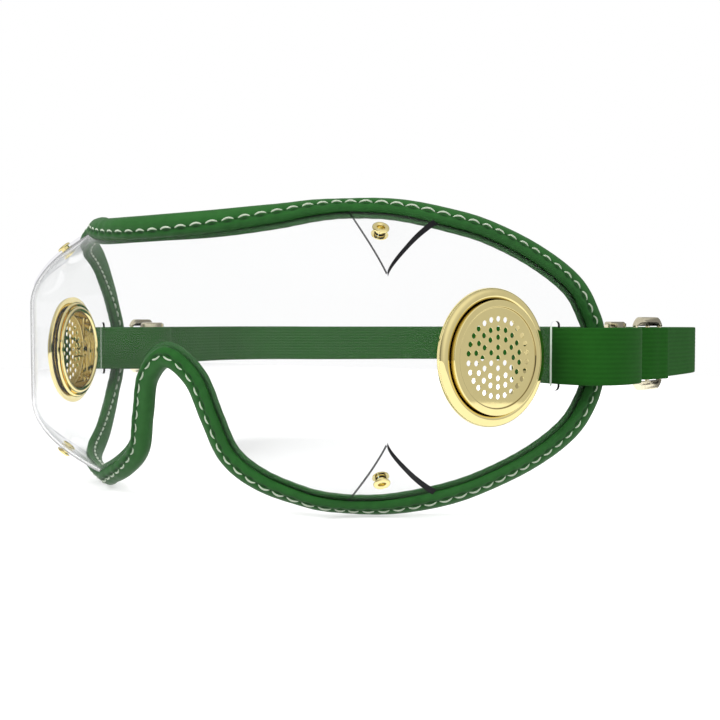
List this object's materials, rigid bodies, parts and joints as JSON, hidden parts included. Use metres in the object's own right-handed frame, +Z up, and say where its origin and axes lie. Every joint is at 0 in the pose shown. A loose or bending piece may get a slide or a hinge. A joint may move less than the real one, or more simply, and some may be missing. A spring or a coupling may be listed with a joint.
{
  "type": "horse racing goggles",
  "caption": "Wraparound clear goggles with a padded, stitched leather edge, round perforated brass vents and an elastic head strap with a brass slide at each temple.",
  "frame": {"origin": "midway between the two strap slots, at the strap's mid height", "axes": "+X to the wearer's left, +Y back over the ears to the rear of the strap, +Z up"},
  "size_m": [0.2086, 0.2278, 0.0814],
  "materials": {
    "clear_sheet": "clear flexible plastic sheet, polished, with a faint silver line at its silhouette",
    "green_leather": "smooth dyed leather with a soft sheen",
    "core_foam": "soft filler cord, hidden in the edge",
    "thread": "pale waxed thread",
    "polished_brass": "polished pressed brass",
    "green_elastic": "woven elastic with fine lengthwise ribs",
    "slide_brass": "brushed brass"
  },
  "bodies": {
    "goggles": {"lens": "clear_sheet", "edge_binding": "green_leather", "edge_core": "core_foam", "edge_stitching": "thread", "dart_eyelets": "polished_brass", "vent_cap_left": "polished_brass", "vent_cap_right": "polished_brass", "vent_ring_left": "polished_brass", "vent_ring_right": "polished_brass", "strap_band": "green_elastic", "strap_outer_left": "green_elastic", "strap_outer_right": "green_elastic", "strap_run_left": "green_elastic", "strap_run_right": "green_elastic", "strap_inner_left": "green_elastic", "strap_inner_right": "green_elastic"},
    "adjuster_left": {"slide_left": "slide_brass", "strap_tail_left": "green_elastic", "strap_tip_left": "slide_brass"},
    "adjuster_right": {"slide_right": "slide_brass", "strap_tail_right": "green_elastic", "strap_tip_right": "slide_brass"}
  },
  "joints": [
    {"name": "slide_left_along_strap", "type": "slide", "parent": "goggles", "child": "adjuster_left", "axis": [0.035, 0.9994, 0], "range_m": [-0.002, 0.03], "deforming": ["strap_outer_left", "strap_run_left", "strap_inner_left"]},
    {"name": "slide_right_along_strap", "type": "slide", "parent": "goggles", "child": "adjuster_right", "axis": [-0.035, 0.9994, 0], "range_m": [-0.002, 0.03], "deforming": ["strap_outer_right", "strap_run_right", "strap_inner_right"]}
  ]
}
